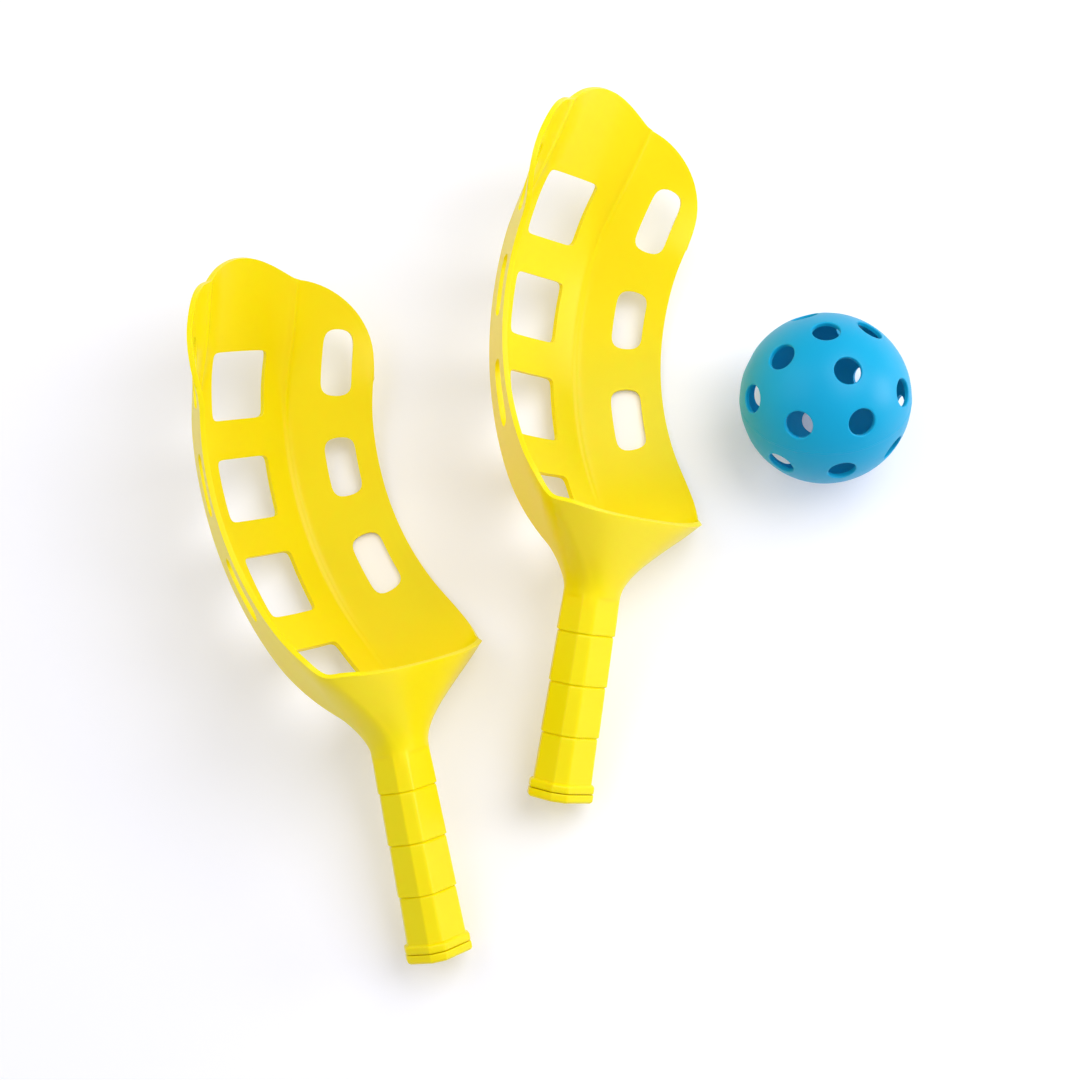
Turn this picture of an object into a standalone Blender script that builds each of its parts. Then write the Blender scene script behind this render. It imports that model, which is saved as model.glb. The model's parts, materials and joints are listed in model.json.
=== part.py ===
# Scoop ball set: two slotted basket scoops lying on their sides and one perforated ball.
#
# A scoop is modelled upright in its own frame: X across, Y the way the basket opens, Z along
# the grip from its closed end to the tip. It is then turned onto its side wall on the table.
import math

import bmesh
import bpy
from mathutils import Matrix, Vector

MM = 0.001

# Grip: an unequal octagon with four slightly tapered segments
GRIP_HALF_WIDTH = 12.1 * MM
GRIP_HALF_DEPTH = 9.6 * MM
GRIP_CHAMFER = 4.1 * MM
GRIP_TOP = 91.0 * MM
GRIP_TAPER = 0.45 * MM
GRIP_WALL = 2.6 * MM
GROOVE_SPACING = 21.6 * MM
LOWEST_GROOVE = 27.3 * MM
GROOVE_DEPTH = 0.7 * MM
GROOVE_WIDTH = 1.2 * MM
GROOVES = 3
COLLAR_PROUD = 1.3 * MM
COLLAR_TOP = 7.6 * MM
COLLAR_EDGE = 0.4 * MM
COLLAR_SHOULDER = 0.6 * MM
GRIP_ROOT = 0.6 * MM
GRIP_ROOT_INSET = 1.2 * MM
BORE_ROOF = 4.0 * MM

# End plug: closes the bore and forms the lower band of the collar
PLUG_BAND = 3.7 * MM
PLUG_SPIGOT = 9.0 * MM
PLUG_CLEARANCE = 0.3 * MM
PLUG_CHAMFER = 0.9 * MM
SPIGOT_CHAMFER = 0.8 * MM

# Wall of the basket, and the bead along each inner corner
WALL = 2.2 * MM
BEAD_HEIGHT = 0.7 * MM
BEAD_HALF_WIDTH = 1.5 * MM
SHARPEST_MITRE = 1.08

# Spine of the basket: an arc from the mouth up, then a straight tip
MOUTH_Y = -11.5 * MM
MOUTH_Z = 105.2 * MM
MOUTH_LEAN = math.radians(-46.7)
SPINE_RADIUS = 144.3 * MM
TIP_LEAN = math.radians(20.8)
SPINE_LENGTH = 199.8 * MM

# Section of the basket: a dished back panel between two splayed side walls
BACK_HALF_TOP = 27.9 * MM
BACK_HALF_MOUTH = 26.9 * MM
MOUTH_NARROWING = 6.5 * MM
MOUTH_NARROWING_LENGTH = 35.0 * MM
BACK_DISH = 2.6 * MM
RIM_HALF = 52.2 * MM
RIM_HEIGHT = 31.6 * MM
RIM_FLARE = 2.4 * MM
RIM_LIFT = 1.4 * MM
FLARE_LENGTH = 105.0 * MM
TIP_FLARE = 8.0 * MM
TIP_REACH = 1.3 * MM
TIP_FLARE_START = 152.0 * MM
TIP_FLARE_LENGTH = 40.0 * MM
TIP_CORNER = 24.0 * MM
TIP_CORNER_START = 135.0 * MM
TIP_CORNER_LENGTH = 55.0 * MM
MOUTH_CORNER = 10.5 * MM
MOUTH_CORNER_FADE = 30.0 * MM

# Neck and front lip
NECK_Z = 87.0 * MM
NECK_HALF_WIDTH = 10.4 * MM
NECK_HALF_DEPTH = 7.9 * MM
NECK_ROUNDNESS = 2.6
NECK_BACK_SWEEP = math.radians(118.0)
NECK_PULL = 0.8
MOUTH_PULL_BACK = 0.6
MOUTH_PULL_RIM = 0.3
CORNER_DROP = 1.6 * MM
LIP_Y = 22.4 * MM
LIP_Z = 122.0 * MM
LIP_ROUNDNESS = 3.3
LIP_SPREAD = 0.9
LIP_LEAN = 0.35
LIP_TURN = 0.4

# Three-lobed tip
NOTCH_RISE = 4.0 * MM
CENTRE_LOBE = 12.9 * MM
SIDE_LOBE_DROP = 38.0 * MM
SIDE_LOBE_ROUNDNESS = 2.0

# Windows: distance of each one's top and bottom edge below the top of the inner corners
BACK_WINDOWS = ((26.9 * MM, 56.1 * MM), (72.7 * MM, 99.8 * MM), (115.7 * MM, 144.4 * MM),
                (161.3 * MM, 188.3 * MM))
BACK_WINDOW_HALF_TOP = 17.2 * MM
BACK_WINDOW_HALF_MOUTH = 12.7 * MM
BACK_WINDOW_CORNER = 2.2 * MM
SIDE_WINDOWS = ((16.4 * MM, 47.8 * MM), (68.8 * MM, 98.8 * MM), (119.8 * MM, 152.4 * MM))
SIDE_WINDOW_INNER = 15.6 * MM
SIDE_WINDOW_OUTER = 28.9 * MM
SIDE_WINDOW_CORNER = 4.4 * MM

# Ball: two half shells welded at a stepped joint
BALL_RADIUS = 36.5 * MM
BALL_WALL = 2.0 * MM
BALL_HOLE = 11.7 * MM
INNER_RING_LATITUDE = math.radians(55.5)
OUTER_RING_LATITUDE = math.radians(19.5)
INNER_RING_HOLES = 4
OUTER_RING_HOLES = 8
WELD_GAP = 0.3 * MM
WELD_STEP = 1.2 * MM

# How the pieces lie on the table
SCOOP_ROLL = math.radians(37.88)
SCOOP_PLACES = {
    "left": (-48.255 * MM, -180.15 * MM, math.radians(11.1)),
    "right": (1.345 * MM, -115.35 * MM, math.radians(-9.33)),
}
BALL_PLACE = (115.345 * MM, 53.25 * MM)
BALL_POLE = Vector((-0.074, 0.558, 0.827))
BALL_SPIN = math.radians(-75.4)
BALL_HALF_TURN = math.radians(76.0)

# Length of the cutting shapes, in thicknesses of the wall or depths of the dish that they pass
WINDOW_CUT_REACH = 3.0
HOLE_CUT_LENGTH = 5.0

# Fineness of the surfaces
LIP_NEAR_CORNER = 0.99
WALL_STEPS = (0.25, 0.5, 0.75, 0.85, 0.94, 1.0)
BACK_STEPS = 6
FRONT_STEPS = 16
TROUGH_ROWS = 24
FUNNEL_ROWS = 8
CORNER_STEPS = 4
BALL_SEGMENTS = 32
HOLE_SEGMENTS = 12
PITCH_STEPS = 30


def spine_frame(run):
    """Point of the spine and its lean, at a distance from the mouth."""
    arc = (TIP_LEAN - MOUTH_LEAN) * SPINE_RADIUS
    bent = min(run, arc)
    lean = MOUTH_LEAN + bent / SPINE_RADIUS
    y = MOUTH_Y + SPINE_RADIUS * (math.cos(MOUTH_LEAN) - math.cos(lean))
    z = MOUTH_Z + SPINE_RADIUS * (math.sin(lean) - math.sin(MOUTH_LEAN))
    straight = max(run - arc, 0.0)
    return y + straight * math.sin(lean), z + straight * math.cos(lean), lean


def smooth(x):
    """Smooth step from 0 to 1."""
    x = min(1.0, max(0.0, x))
    return x * x * (3.0 - 2.0 * x)


def place(run, across, out):
    """Point of a section: across the basket and out from its spine."""
    y, z, lean = spine_frame(run)
    return Vector((across, y + out * math.cos(lean), z - out * math.sin(lean)))


def back_half(run):
    """Half width of the back panel, which narrows into the funnel."""
    narrow = MOUTH_NARROWING * max(0.0, 1.0 - run / MOUTH_NARROWING_LENGTH) ** 2
    return BACK_HALF_MOUTH - narrow + (BACK_HALF_TOP - BACK_HALF_MOUTH) * run / SPINE_LENGTH


def rim_corner(run):
    """Across and out position of the rim."""
    flare = max(0.0, 1.0 - run / FLARE_LENGTH) ** 2
    across = RIM_HALF - BACK_HALF_TOP
    out = RIM_HEIGHT - BACK_DISH
    width = math.hypot(across, out)
    tip = TIP_FLARE * smooth((run - TIP_FLARE_START) / TIP_FLARE_LENGTH) / width
    reach = TIP_REACH * smooth((run - TIP_CORNER_START) / TIP_CORNER_LENGTH) / width
    half = RIM_HALF + RIM_FLARE * flare + tip * out + reach * across
    return half, RIM_HEIGHT + RIM_LIFT * flare - tip * across + reach * out


def wall_length(run):
    """Width of a side wall, from the inner corner to the rim."""
    rim, height = rim_corner(run)
    return math.hypot(rim - back_half(run), height - BACK_DISH)


def tip_round(run, side, away):
    """Across and out shift that rounds an inner corner near the tip, at a distance from it."""
    size = TIP_CORNER * smooth((run - TIP_CORNER_START) / TIP_CORNER_LENGTH)
    if size <= away:
        return 0.0, 0.0
    rim, height = rim_corner(run)
    across = rim - back_half(run)
    out = height - BACK_DISH
    width = math.hypot(across, out)
    shift = 0.25 * size * (1.0 - away / size) ** 2
    return side * (across / width - 1.0) * shift, out / width * shift


def back_point(run, share):
    """Point of the dished back panel, share from -1 to 1."""
    half = back_half(run)
    side = 1.0 if share > 0.0 else -1.0
    across, out = tip_round(run, side, (1.0 - abs(share)) * half)
    return place(run, share * half + across, BACK_DISH * share * share + out)


def flat_wall_point(run, side, share):
    """Point of a side wall before its mouth corner is rounded."""
    rim, height = rim_corner(run)
    half = back_half(run)
    across, out = tip_round(run, side, share * wall_length(run))
    return place(run, side * (half + share * (rim - half)) + across,
                 BACK_DISH + share * (height - BACK_DISH) + out)


def mouth_corner_turn(side):
    """How far the direction turns from the wall to the lip at a corner of the mouth."""
    corner = flat_wall_point(-CORNER_DROP, side, 1.0)
    wall = (corner - flat_wall_point(-CORNER_DROP, side, 0.0)).normalized()
    lip = (flat_lip_point(LIP_NEAR_CORNER * side) - corner).normalized()
    return lip - wall


def corner_shift(side, away):
    """Shift that rounds a corner of the mouth, at a distance from the corner."""
    share = max(0.0, 1.0 - away / MOUTH_CORNER)
    return mouth_corner_turn(side) * 0.25 * MOUTH_CORNER * share * share


def wall_point(run, side, share):
    """Point of a side wall, share from 0 at the inner corner to 1 at the rim."""
    point = flat_wall_point(run, side, share)
    above = max(0.0, run + CORNER_DROP * share * share)
    fade = max(0.0, 1.0 - above / MOUTH_CORNER_FADE) ** 2
    if fade == 0.0:
        return point
    return point + corner_shift(side, (1.0 - share) * wall_length(run)) * fade


def column_list():
    """The lengthwise lines of the basket, from one rim round the back to the other rim."""
    bead = [0.5 * BEAD_HALF_WIDTH / wall_length(0.5 * SPINE_LENGTH)]
    bead.append(2.0 * bead[0])
    wall = bead + list(WALL_STEPS)
    flat = BEAD_HALF_WIDTH / back_half(0.5 * SPINE_LENGTH)
    inner = 1.0 - flat
    back = [-1.0, -1.0 + 0.5 * flat]
    back += [inner * (2.0 * i / BACK_STEPS - 1.0) for i in range(BACK_STEPS + 1)]
    back += [1.0 - 0.5 * flat, 1.0]
    columns = [("wall", -1, share) for share in reversed(wall)]
    columns += [("back", 0, share) for share in back]
    columns += [("wall", 1, share) for share in wall]
    return columns


def column_end(column):
    """Distance from the mouth at which a lengthwise line ends at the three-lobed tip."""
    kind, _, share = column
    notch = SPINE_LENGTH + NOTCH_RISE
    if kind == "back":
        return notch + (CENTRE_LOBE - NOTCH_RISE) * math.cos(0.5 * math.pi * share)
    fall = (1.0 - share ** SIDE_LOBE_ROUNDNESS) ** (1.0 / SIDE_LOBE_ROUNDNESS)
    return notch - SIDE_LOBE_DROP * (1.0 - fall)


def column_start(column):
    """Distance from the mouth at which a lengthwise line starts: the rim reaches lower."""
    kind, _, share = column
    return 0.0 if kind == "back" else -CORNER_DROP * share * share


def column_point(column, run):
    """Point of a lengthwise line at a distance from the mouth."""
    kind, side, share = column
    if kind == "back":
        return back_point(run, share)
    return wall_point(run, side, share)


def bead_lift(column):
    """Height of the bead at a lengthwise line."""
    kind, _, share = column
    if kind == "back":
        away = (1.0 - abs(share)) * back_half(0.5 * SPINE_LENGTH)
    else:
        away = share * wall_length(0.5 * SPINE_LENGTH)
    return BEAD_HEIGHT * max(0.0, math.cos(0.5 * math.pi * min(1.0, away / BEAD_HALF_WIDTH)))


def neck_point(angle):
    """Point of the rounded neck section, angle from the middle of the back."""
    reach = 2.0 / NECK_ROUNDNESS
    across = math.copysign(abs(math.sin(angle)) ** reach, math.sin(angle))
    out = -math.copysign(abs(math.cos(angle)) ** reach, math.cos(angle))
    return Vector((NECK_HALF_WIDTH * across, NECK_HALF_DEPTH * out, NECK_Z))


def flat_lip_point(share):
    """Point of the front lip before its corners are rounded."""
    corner = flat_wall_point(-CORNER_DROP, 1, 1.0)
    rise = 1.0 - abs(share) ** LIP_ROUNDNESS
    return Vector((corner.x * share, corner.y + (LIP_Y - corner.y) * rise,
                   corner.z + (LIP_Z - corner.z) * rise))


def lip_point(share):
    """Point of the front lip between the two rim corners, share from 1 to -1."""
    side = 1 if share > 0.0 else -1
    point = flat_lip_point(share)
    return point + corner_shift(side, (point - flat_lip_point(side)).length)


def blend(start, start_run, end, end_run, t):
    """Smooth line between two points that leaves and arrives along the given runs."""
    return (start * (2 * t ** 3 - 3 * t ** 2 + 1) + start_run * (t ** 3 - 2 * t ** 2 + t)
            + end * (3 * t ** 2 - 2 * t ** 3) + end_run * (t ** 3 - t ** 2))


def funnel_columns(columns):
    """Lines from the neck to the mouth, as both ends and both runs: the basket's, then the lip's."""
    starts = [column_point(column, column_start(column)) for column in columns]
    widths = [0.0]
    for previous, mouth in zip(starts, starts[1:]):
        widths.append(widths[-1] + (mouth - previous).length)
    lines = []
    for width, mouth, column in zip(widths, starts, columns):
        neck = neck_point(NECK_BACK_SWEEP * (2.0 * width / widths[-1] - 1.0))
        kind, _, share = column
        onward = (column_point(column, column_start(column) + 1.0 * MM) - mouth).normalized()
        rim = 0.0 if kind == "back" else share
        pull = MOUTH_PULL_BACK + (MOUTH_PULL_RIM - MOUTH_PULL_BACK) * rim
        lines.append((neck, mouth, onward, pull))
    first, last = lines[0][2], lines[-1][2]
    for i in range(1, FRONT_STEPS):
        turn = 1.0 - 2.0 * i / FRONT_STEPS
        neck = neck_point(math.pi - (math.pi - NECK_BACK_SWEEP) * turn)
        share = math.sin(0.5 * math.pi * turn)
        onward = Vector((LIP_SPREAD * share, LIP_LEAN, 1.0)).normalized()
        mix = smooth((1.0 - abs(turn)) / LIP_TURN)
        corner = last if turn > 0.0 else first
        lines.append((neck, lip_point(share), corner.lerp(onward, mix).normalized(), MOUTH_PULL_RIM))
    return lines


def funnel_point(line, t):
    """Point of a funnel line, t from 0 at the neck to 1 at the mouth."""
    neck, mouth, onward, pull = line
    chord = (mouth - neck).length
    rise = Vector((0.0, 0.0, NECK_PULL * chord))
    return blend(neck, rise, mouth, onward * pull * chord, t)


def basket_sheet(columns):
    """Inner face of the basket as a grid: closed rings up the funnel, open rows above."""
    bm = bmesh.new()
    lines = funnel_columns(columns)
    rings = []
    for row in range(FUNNEL_ROWS + 1):
        rings.append([bm.verts.new(funnel_point(line, row / FUNNEL_ROWS)) for line in lines])
    for lower, upper in zip(rings, rings[1:]):
        count = len(lower)
        for i in range(count):
            j = (i + 1) % count
            bm.faces.new((lower[i], upper[i], upper[j], lower[j]))
    bm.faces.new(rings[0])
    rows = [rings[-1][:len(columns)]]
    for row in range(1, TROUGH_ROWS + 1):
        share = row / TROUGH_ROWS
        row_verts = []
        for column in columns:
            start = column_start(column)
            run = start + share * (column_end(column) - start)
            row_verts.append(bm.verts.new(column_point(column, run)))
        rows.append(row_verts)
    for lower, upper in zip(rows, rows[1:]):
        for i in range(len(columns) - 1):
            bm.faces.new((lower[i], upper[i], upper[i + 1], lower[i + 1]))
    bm.verts.index_update()
    bm.normal_update()
    return bm, rows


def basket_shell():
    """The basket's wall as a closed solid: inner face with its beads, outer face and rims."""
    columns = column_list()
    sheet, rows = basket_sheet(columns)
    outward = -1.0 if back_points_inward(sheet) else 1.0
    outer = [vert.co + vert.normal * outward * WALL * min(vert.calc_shell_factor(), SHARPEST_MITRE)
             for vert in sheet.verts]
    inner = [vert.co.copy() for vert in sheet.verts]
    for row in rows:
        for vert, column in zip(row, columns):
            inner[vert.index] -= vert.normal * outward * bead_lift(column)
    shell = bmesh.new()
    outer_verts = [shell.verts.new(point) for point in outer]
    inner_verts = [shell.verts.new(point) for point in inner]
    for face in sheet.faces:
        ids = [vert.index for vert in face.verts]
        shell.faces.new([outer_verts[i] for i in ids])
        shell.faces.new([inner_verts[i] for i in reversed(ids)])
    for edge in sheet.edges:
        if len(edge.link_faces) == 1:
            a, b = (vert.index for vert in edge.verts)
            shell.faces.new((outer_verts[a], outer_verts[b], inner_verts[b], inner_verts[a]))
    sheet.free()
    bmesh.ops.recalc_face_normals(shell, faces=shell.faces)
    return shell


def back_points_inward(sheet):
    """True when the grid's normals point into the basket."""
    face = max(sheet.faces, key=lambda f: f.calc_center_median().z)
    return face.normal.y > 0.0


def octagon(grow, z):
    """Corners of the grip's section, moved out by grow, at a height."""
    x = GRIP_HALF_WIDTH + grow
    y = GRIP_HALF_DEPTH + grow
    cut = GRIP_CHAMFER + 0.5 * grow
    corners = ((x, y - cut), (x - cut, y), (cut - x, y), (-x, y - cut),
               (-x, cut - y), (cut - x, -y), (x - cut, -y), (x, cut - y))
    return [Vector((a, b, z)) for a, b in corners]


def loft(rings):
    """Closed solid through a stack of rings."""
    bm = bmesh.new()
    stack = [[bm.verts.new(point) for point in ring] for ring in rings]
    for lower, upper in zip(stack, stack[1:]):
        for i in range(len(lower)):
            j = (i + 1) % len(lower)
            bm.faces.new((lower[i], lower[j], upper[j], upper[i]))
    bm.faces.new(list(reversed(stack[0])))
    bm.faces.new(stack[-1])
    bmesh.ops.recalc_face_normals(bm, faces=bm.faces)
    return bm


def grip_solid():
    """Grip outside: the collar's upper band, then tapered segments between grooves."""
    base = PLUG_BAND + PLUG_CLEARANCE
    rings = [octagon(COLLAR_PROUD - COLLAR_EDGE, base), octagon(COLLAR_PROUD, base + COLLAR_EDGE),
             octagon(COLLAR_PROUD, COLLAR_TOP - COLLAR_SHOULDER)]
    bottom = COLLAR_TOP
    for i in range(GROOVES + 1):
        last = i == GROOVES
        top = GRIP_TOP if last else LOWEST_GROOVE + i * GROOVE_SPACING
        rings.append(octagon(0.0, bottom))
        rings.append(octagon(-GRIP_TAPER, top - 0.5 * GROOVE_WIDTH))
        if not last:
            rings.append(octagon(-GRIP_TAPER - GROOVE_DEPTH, top))
            bottom = top + 0.5 * GROOVE_WIDTH
    rings.append(octagon(-GRIP_TAPER - GRIP_ROOT_INSET, GRIP_TOP + GRIP_ROOT))
    return loft(rings)


def bore_solid():
    """Blind bore of the grip."""
    top = NECK_Z - WALL - BORE_ROOF
    return loft([octagon(-GRIP_WALL, 0.5 * PLUG_BAND), octagon(-GRIP_WALL, top)])


def plug_solid():
    """End plug: the collar's lower band and a spigot that fills the mouth of the bore."""
    spigot = -GRIP_WALL - PLUG_CLEARANCE
    return loft([octagon(COLLAR_PROUD - PLUG_CHAMFER, 0.0), octagon(COLLAR_PROUD, PLUG_CHAMFER),
                 octagon(COLLAR_PROUD, PLUG_BAND), octagon(spigot, PLUG_BAND),
                 octagon(spigot, PLUG_BAND + PLUG_SPIGOT - SPIGOT_CHAMFER),
                 octagon(spigot - SPIGOT_CHAMFER, PLUG_BAND + PLUG_SPIGOT)])


def rounded_rectangle(half_a, half_b, radius):
    """Outline of a rectangle with round corners."""
    points = []
    for quarter, (sa, sb) in enumerate(((1, 1), (-1, 1), (-1, -1), (1, -1))):
        for i in range(CORNER_STEPS + 1):
            angle = 0.5 * math.pi * (quarter + i / CORNER_STEPS)
            points.append((sa * (half_a - radius) + radius * math.cos(angle),
                           sb * (half_b - radius) + radius * math.sin(angle)))
    return points


def add_window(bm, outline, centre, along_a, along_b, depth):
    """Adds a prism with the given outline that passes through the wall."""
    normal = along_a.cross(along_b).normalized()
    ends = []
    for reach in (-depth, depth):
        ends.append([bm.verts.new(centre + along_a * a + along_b * b + normal * reach)
                     for a, b in outline])
    count = len(outline)
    for i in range(count):
        j = (i + 1) % count
        bm.faces.new((ends[0][i], ends[0][j], ends[1][j], ends[1][i]))
    bm.faces.new(list(reversed(ends[0])))
    bm.faces.new(ends[1])


def window_cutters():
    """All window prisms of one scoop."""
    bm = bmesh.new()
    for top, bottom in BACK_WINDOWS:
        run = SPINE_LENGTH - 0.5 * (top + bottom)
        grow = (BACK_WINDOW_HALF_TOP - BACK_WINDOW_HALF_MOUTH) * run / SPINE_LENGTH
        outline = rounded_rectangle(BACK_WINDOW_HALF_MOUTH + grow, 0.5 * (bottom - top),
                                    BACK_WINDOW_CORNER)
        centre = back_point(run, 0.0)
        along = (back_point(run + 1.0 * MM, 0.0) - centre).normalized()
        add_window(bm, outline, centre, Vector((1.0, 0.0, 0.0)), along, WINDOW_CUT_REACH * BACK_DISH)
    for top, bottom in SIDE_WINDOWS:
        run = SPINE_LENGTH - 0.5 * (top + bottom)
        outline = rounded_rectangle(0.5 * (SIDE_WINDOW_OUTER - SIDE_WINDOW_INNER),
                                    0.5 * (bottom - top), SIDE_WINDOW_CORNER)
        share = 0.5 * (SIDE_WINDOW_OUTER + SIDE_WINDOW_INNER) / wall_length(run)
        for side in (-1, 1):
            centre = wall_point(run, side, share)
            up = (wall_point(run, side, 1.0) - wall_point(run, side, 0.0)).normalized()
            along = (wall_point(run + 1.0 * MM, side, share) - centre).normalized()
            add_window(bm, outline, centre, up, along, WINDOW_CUT_REACH * WALL)
    bmesh.ops.recalc_face_normals(bm, faces=bm.faces)
    return bm


def new_object(name, bm, hidden=False):
    """Object from a finished bmesh."""
    mesh = bpy.data.meshes.new(name)
    bm.to_mesh(mesh)
    bm.free()
    obj = bpy.data.objects.new(name, mesh)
    bpy.context.scene.collection.objects.link(obj)
    if hidden:
        obj.hide_render = True
        obj.display_type = "WIRE"
    return obj


def add_boolean(obj, tool, operation):
    """Exact Boolean with another object."""
    modifier = obj.modifiers.new(tool.name, "BOOLEAN")
    modifier.operation = operation
    modifier.object = tool
    modifier.solver = "EXACT"


def shade_round(obj, angle):
    """Smooth shading with sharp edges past an angle."""
    obj.data.shade_smooth()
    obj.data.set_sharp_from_angle(angle=math.radians(angle))


def make_material(name, color, roughness):
    """Plain moulded plastic."""
    material = bpy.data.materials.new(name)
    material.use_nodes = True
    shader = material.node_tree.nodes["Principled BSDF"]
    shader.inputs["Base Color"].default_value = (*color, 1.0)
    shader.inputs["Roughness"].default_value = roughness
    shader.inputs["Metallic"].default_value = 0.0
    return material


def laid_down(pitch):
    """Turn of a scoop from upright to lying on its side wall, before its yaw."""
    return (Matrix.Rotation(pitch - 0.5 * math.pi, 4, "X")
            @ Matrix.Rotation(-0.5 * math.pi - SCOOP_ROLL, 4, "Z"))


def lowest(points, turn):
    """Height of the lowest of some points after a turn."""
    return min((turn @ point).z for point in points)


def resting_pose(basket):
    """Pitch, and height of the grip's axis, at which the collar and the basket touch the table."""
    collar = octagon(COLLAR_PROUD, PLUG_CHAMFER) + octagon(COLLAR_PROUD - PLUG_CHAMFER, 0.0)
    low = 0.0
    high = 0.5 * math.pi
    for _ in range(PITCH_STEPS):
        pitch = 0.5 * (low + high)
        turn = laid_down(pitch)
        if lowest(basket, turn) > lowest(collar, turn):
            high = pitch
        else:
            low = pitch
    return pitch, -lowest(collar, laid_down(pitch))


def scoop_matrix(side, basket):
    """Sets a scoop down in its place."""
    x, y, yaw = SCOOP_PLACES[side]
    pitch, height = resting_pose(basket)
    return Matrix.Translation((x, y, height)) @ Matrix.Rotation(yaw, 4, "Z") @ laid_down(pitch)


def make_scoop(side, material):
    """One scoop moulding and its end plug."""
    scoop = new_object("scoop_" + side, basket_shell())
    place_matrix = scoop_matrix(side, [vert.co.copy() for vert in scoop.data.vertices])
    grip = new_object("grip_shape_" + side, grip_solid(), hidden=True)
    bore = new_object("bore_shape_" + side, bore_solid(), hidden=True)
    windows = new_object("window_shape_" + side, window_cutters(), hidden=True)
    plug = new_object("grip_plug_" + side, plug_solid())
    add_boolean(scoop, grip, "UNION")
    add_boolean(scoop, bore, "DIFFERENCE")
    add_boolean(scoop, windows, "DIFFERENCE")
    for obj in (scoop, grip, bore, windows, plug):
        obj.matrix_world = place_matrix
    for obj in (scoop, plug):
        obj.data.materials.append(material)
        shade_round(obj, 30)


def ball_half(upper):
    """Closed half shell, pole up. The upper edge is cut back outside, the lower edge stands up."""
    inside = BALL_RADIUS - BALL_WALL
    middle = BALL_RADIUS - 0.5 * BALL_WALL
    half_gap = 0.5 * WELD_GAP
    if upper:
        outer_z = half_gap
        inner_z = half_gap + WELD_STEP
        step_radius = middle + half_gap
    else:
        outer_z = half_gap
        inner_z = half_gap - WELD_STEP
        step_radius = middle - half_gap
    profile = [(0.0, BALL_RADIUS)]
    steps = BALL_SEGMENTS // 4
    start = math.asin(outer_z / BALL_RADIUS)
    for i in range(1, steps + 1):
        angle = 0.5 * math.pi + (start - 0.5 * math.pi) * i / steps
        profile.append((BALL_RADIUS * math.cos(angle), BALL_RADIUS * math.sin(angle)))
    profile.append((step_radius, outer_z))
    profile.append((step_radius, inner_z))
    start = math.asin(inner_z / inside)
    for i in range(steps + 1):
        angle = start + (0.5 * math.pi - start) * i / steps
        profile.append((inside * math.cos(angle), inside * math.sin(angle)))
    profile[-1] = (0.0, inside)
    return profile


def turned(profile, segments):
    """Solid of revolution about Z through a profile that starts and ends on the axis."""
    bm = bmesh.new()
    rings = []
    for radius, z in profile:
        if radius == 0.0:
            rings.append([bm.verts.new((0.0, 0.0, z))])
            continue
        rings.append([bm.verts.new((radius * math.cos(2.0 * math.pi * i / segments),
                                    radius * math.sin(2.0 * math.pi * i / segments), z))
                      for i in range(segments)])
    for first, second in zip(rings, rings[1:]):
        for i in range(segments):
            j = (i + 1) % segments
            corners = [first[i % len(first)], first[j % len(first)],
                       second[j % len(second)], second[i % len(second)]]
            unique = list(dict.fromkeys(corners))
            bm.faces.new(unique)
    bmesh.ops.recalc_face_normals(bm, faces=bm.faces)
    return bm


def hole_cutters(spin):
    """Radial hole prisms of one half: one at the pole and two rings."""
    places = [(0.5 * math.pi, 0.0)]
    for latitude, count in ((INNER_RING_LATITUDE, INNER_RING_HOLES),
                            (OUTER_RING_LATITUDE, OUTER_RING_HOLES)):
        places += [(latitude, spin + 2.0 * math.pi * i / count) for i in range(count)]
    bm = bmesh.new()
    for latitude, longitude in places:
        turn = Matrix.Rotation(longitude, 4, "Z") @ Matrix.Rotation(0.5 * math.pi - latitude, 4, "Y")
        middle = BALL_RADIUS - 0.5 * BALL_WALL
        bmesh.ops.create_cone(bm, cap_ends=True, segments=HOLE_SEGMENTS,
                              radius1=0.5 * BALL_HOLE, radius2=0.5 * BALL_HOLE,
                              depth=HOLE_CUT_LENGTH * BALL_WALL,
                              matrix=turn @ Matrix.Translation((0.0, 0.0, middle)))
    return bm


def ball_matrix(upper):
    """Sets a half of the ball down, its pole along or against the ball's axis."""
    pole = BALL_POLE.normalized()
    side = Vector((0.0, 0.0, 1.0)).cross(pole).normalized()
    basis = Matrix((side, pole.cross(side), pole)).transposed().to_4x4()
    move = Matrix.Translation((BALL_PLACE[0], BALL_PLACE[1], BALL_RADIUS))
    flip = Matrix.Identity(4) if upper else Matrix.Rotation(math.pi, 4, "X")
    return move @ basis @ flip


def make_ball_half(name, upper, spin, material):
    """One half shell with its holes."""
    half = new_object(name, turned(ball_half(upper), BALL_SEGMENTS))
    holes = new_object(name + "_holes", hole_cutters(spin), hidden=True)
    add_boolean(half, holes, "DIFFERENCE")
    for obj in (half, holes):
        obj.matrix_world = ball_matrix(upper)
    half.data.materials.append(material)
    shade_round(half, 40)


def main():
    for obj in list(bpy.data.objects):
        bpy.data.objects.remove(obj, do_unlink=True)
    yellow = make_material("yellow_polyethylene", (0.90, 0.71, 0.0), 0.32)
    blue = make_material("blue_polyethylene", (0.0, 0.36, 0.70), 0.45)
    for side in SCOOP_PLACES:
        make_scoop(side, yellow)
    make_ball_half("ball_upper_half", True, BALL_SPIN, blue)
    make_ball_half("ball_lower_half", False, -BALL_SPIN - BALL_HALF_TURN, blue)


main()
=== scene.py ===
import json
import math

import bmesh
import bpy
from mathutils import Matrix, Vector


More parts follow.
